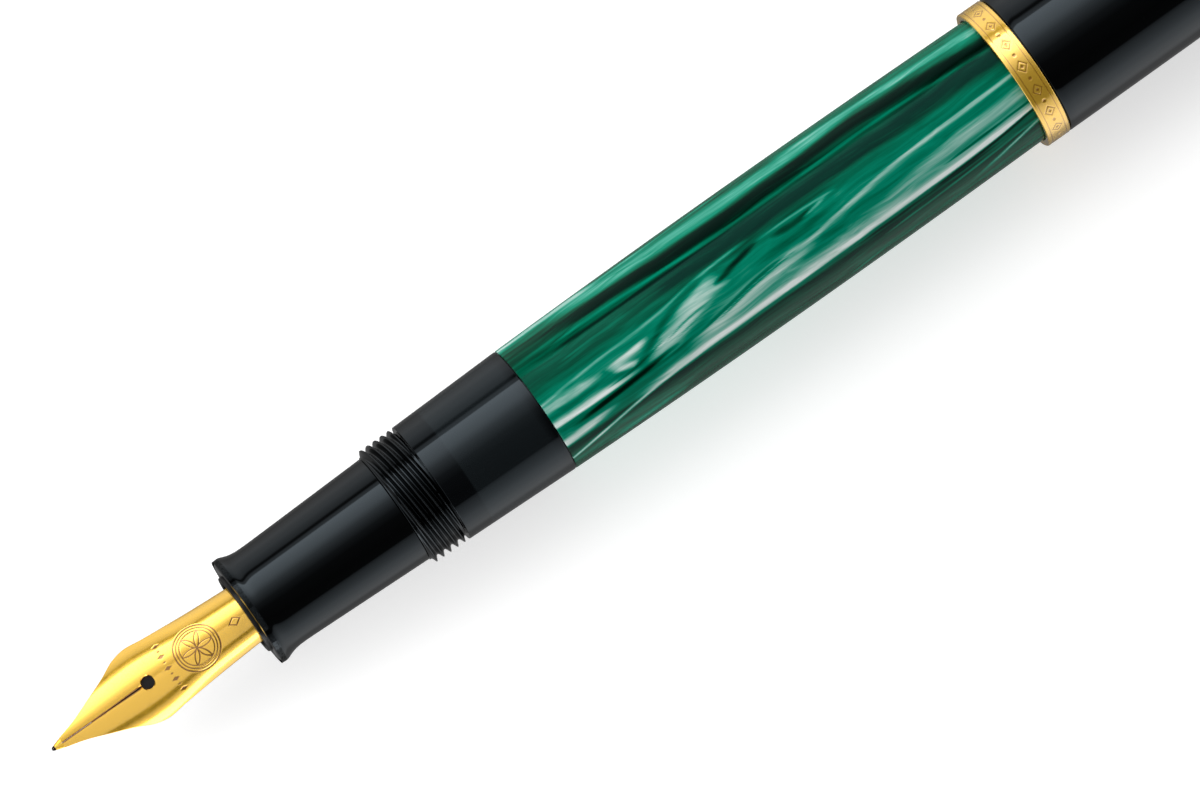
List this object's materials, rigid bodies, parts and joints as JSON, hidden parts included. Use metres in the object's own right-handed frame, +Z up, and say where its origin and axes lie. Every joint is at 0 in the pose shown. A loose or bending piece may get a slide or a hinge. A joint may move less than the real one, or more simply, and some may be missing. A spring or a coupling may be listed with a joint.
{
  "type": "fountain pen",
  "caption": "Piston-filling fountain pen with an engraved gold nib, ink window, marbled barrel and screw cap with a flexing clip, its cap on the tail",
  "frame": {"origin": "centre of the posted pen's box, at the table it lies on", "axes": "+X along the pen from the nib to the crown of the cap, +Z up out of the top of the nib, and +Y to the side that the clip is turned down to"},
  "size_m": [0.149, 0.0126, 0.0126],
  "materials": {
    "gold_plate": "polished gold plate",
    "hard_alloy": "polished hard alloy",
    "steel": "turned",
    "plain_brass": "turned, unplated",
    "black_resin": "polished",
    "smoked_resin": "polished, smoked clear",
    "marbled_resin": "polished, pearl marbled",
    "black_ebonite": "satin",
    "grey_polymer": "moulded",
    "black_rubber": "moulded"
  },
  "bodies": {
    "barrel": {"nib": "gold_plate", "tipping_left": "hard_alloy", "tipping_right": "hard_alloy", "feed": "black_ebonite", "nib_collar": "black_ebonite", "grip_section": "black_resin", "reservoir_tube": "smoked_resin", "barrel_sleeve": "marbled_resin", "piston_housing": "grey_polymer"},
    "piston": {"piston_seal": "black_rubber", "piston_rod": "grey_polymer"},
    "knob_thread": {"knob_ring": "gold_plate"},
    "knob": {"knob": "black_resin", "spindle": "steel"},
    "cap_liner": {"inner_cap": "grey_polymer"},
    "cap": {"cap_tube": "black_resin", "cap_band": "gold_plate", "clip_ring": "gold_plate", "crown": "black_resin", "crown_disc": "gold_plate", "crown_nut": "plain_brass"},
    "clip": {"clip": "gold_plate"}
  },
  "joints": [
    {"name": "cap_pull", "type": "slide", "parent": "barrel", "child": "cap_liner", "axis": [1, 0, 0], "range_m": [0, 0.06]},
    {"name": "cap_turn", "type": "hinge", "parent": "cap_liner", "child": "cap", "pos_m": [0, 0, 0.00631], "axis": [1, 0, 0], "continuous": true},
    {"name": "clip_flex", "type": "hinge", "parent": "cap", "child": "clip", "pos_m": [0.06799, 0.00445, 0.00178], "axis": [0, -0.7132, -0.7009], "range_deg": [0, 5], "stiffness_Nm_per_rad": 0.1},
    {"name": "knob_lift", "type": "slide", "parent": "barrel", "child": "knob_thread", "axis": [1, 0, 0], "range_m": [0, 0.0045]},
    {"name": "knob_turn", "type": "hinge", "parent": "knob_thread", "child": "knob", "pos_m": [0, 0, 0.00631], "axis": [1, 0, 0], "range_deg": [0, 1080]},
    {"name": "piston_travel", "type": "slide", "parent": "barrel", "child": "piston", "axis": [-1, 0, 0], "range_m": [0, 0.02]}
  ],
  "couplings": [
    {"joint": "knob_turn", "follows": "knob_lift", "rad_per_m": 4188.8},
    {"joint": "piston_travel", "follows": "knob_lift", "ratio": 4.4444}
  ]
}
